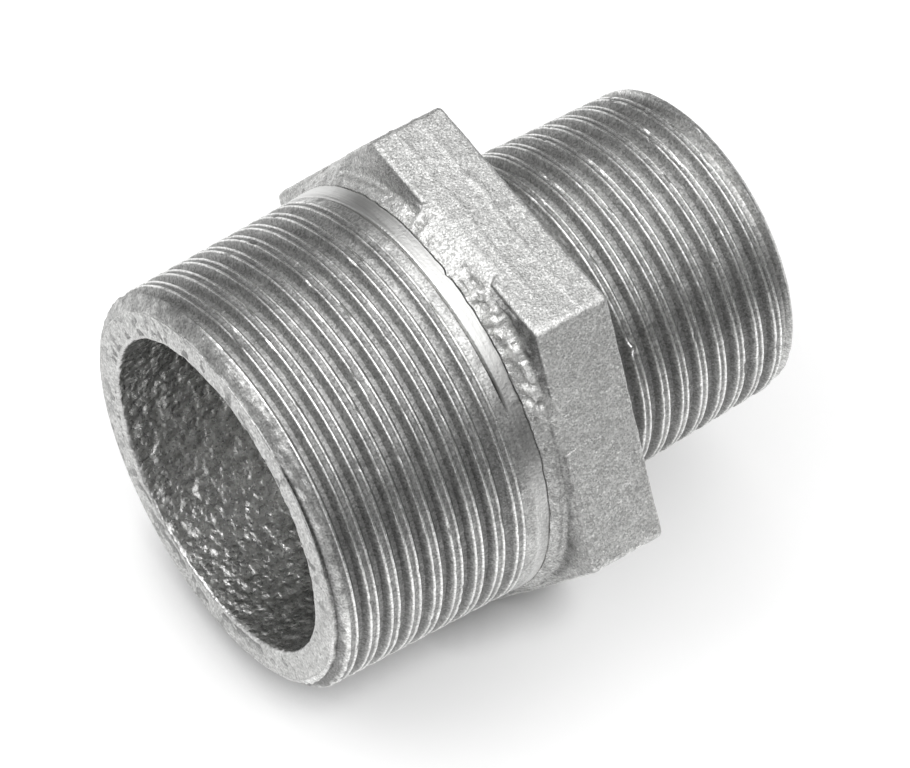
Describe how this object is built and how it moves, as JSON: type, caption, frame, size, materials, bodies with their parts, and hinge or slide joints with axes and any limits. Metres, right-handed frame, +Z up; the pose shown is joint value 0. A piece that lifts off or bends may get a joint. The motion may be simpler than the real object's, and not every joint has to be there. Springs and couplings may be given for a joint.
{
  "type": "hexagon nipple",
  "caption": "Reducing hexagon pipe nipple with a larger and a smaller taper-threaded male end, a hexagon between them for a wrench, and an open passage through it.",
  "frame": {"origin": "on the axis of the passage, in the plane of the large end's face", "axes": "+X along the axis from the large end to the small end, +Z up, out of the hexagon's top flat; the nipple lies on the opposite flat"},
  "size_m": [0.057, 0.052, 0.0452],
  "materials": {
    "cut_iron": "machined threads, dull grey flanks with brighter crests",
    "zinc": "hot-dip galvanised casting, satin with fine grain",
    "zinc_bore": "hot-dip galvanised casting, glossy and dimpled"
  },
  "bodies": {
    "root": {"iron_casting": "cut_iron", "zinc_coat_hexagon": "zinc", "zinc_coat_bore": "zinc_bore"}
  },
  "joints": []
}
